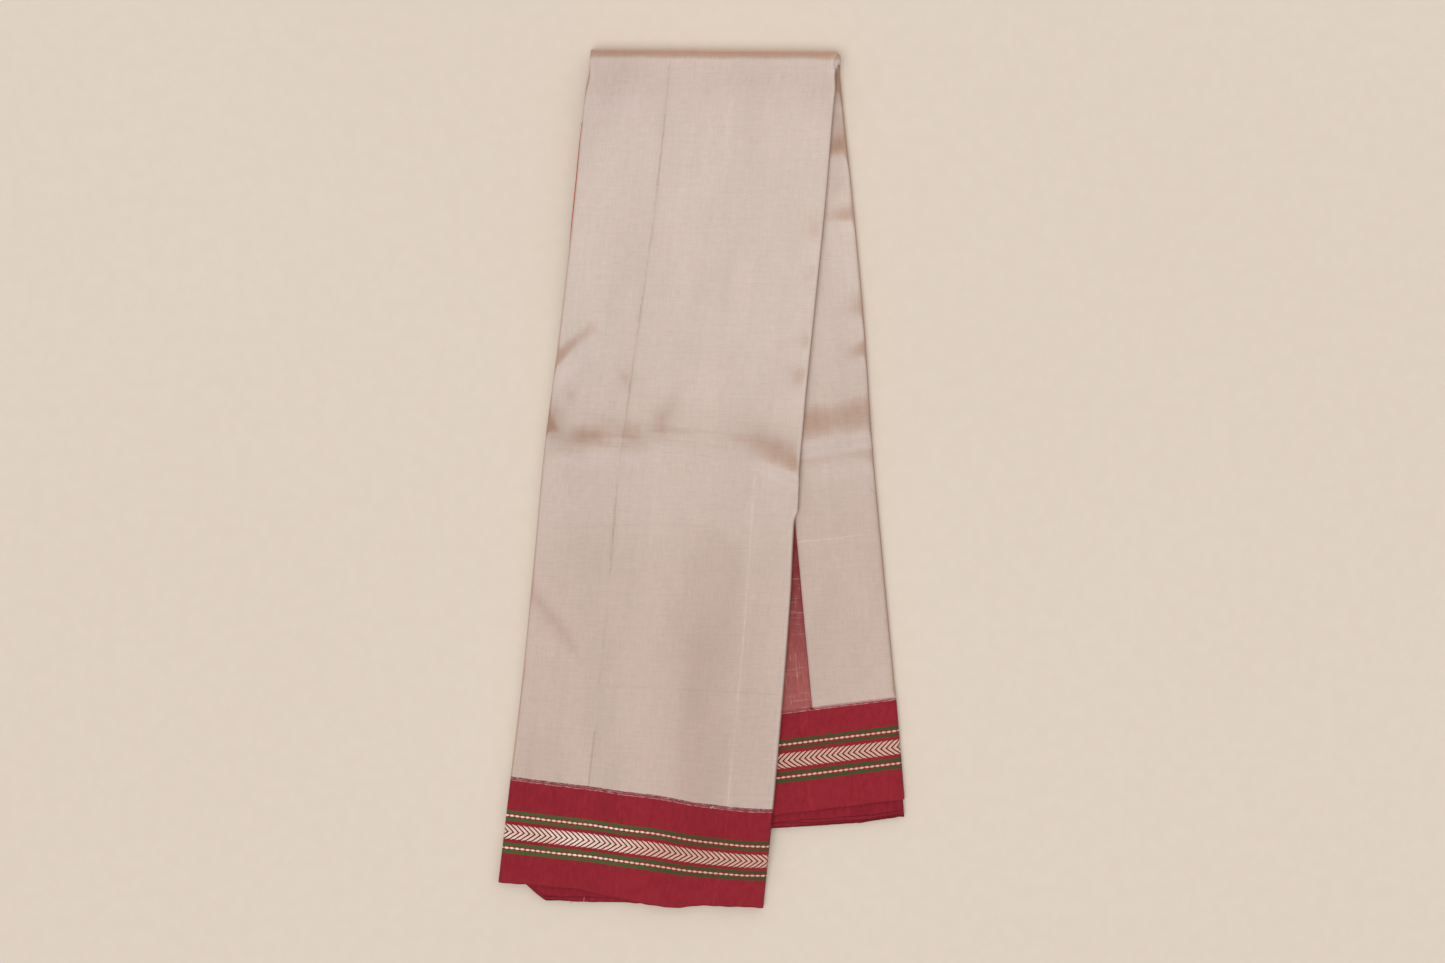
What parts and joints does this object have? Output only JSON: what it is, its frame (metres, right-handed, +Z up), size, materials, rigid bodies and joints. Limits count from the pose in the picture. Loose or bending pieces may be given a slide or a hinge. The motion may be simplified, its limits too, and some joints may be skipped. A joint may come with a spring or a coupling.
{
  "type": "folded silk saree",
  "caption": "Silk saree pressed into a narrow bundle and doubled over, its two flaps fanned a little apart with woven borders at the foot.",
  "frame": {"origin": "middle of the lowest face's box, on the surface that the saree lies on", "axes": "+Z up, +Y from the hems towards the fold, +X towards the side where the back flap shows"},
  "size_m": [0.2998, 0.6328, 0.019],
  "materials": {
    "beige_silk": "plain weave silk, beige shot with pink, with fine slubs and a soft sheen",
    "red_silk": "dense red silk border with green lines, cream dashes and a cream chevron band",
    "rose_silk": "red weft on beige warp, a dusty rose with a fine grain",
    "inner_silk": "edges of pressed layers of the beige silk"
  },
  "bodies": {
    "root": {"hidden_layers": "inner_silk", "front_field": "beige_silk", "front_border": "red_silk", "front_inner_hem": "red_silk", "back_field": "beige_silk", "back_pallu": "rose_silk", "back_border": "red_silk", "back_inner_hem": "red_silk", "pallu_edge": "rose_silk"}
  },
  "joints": []
}
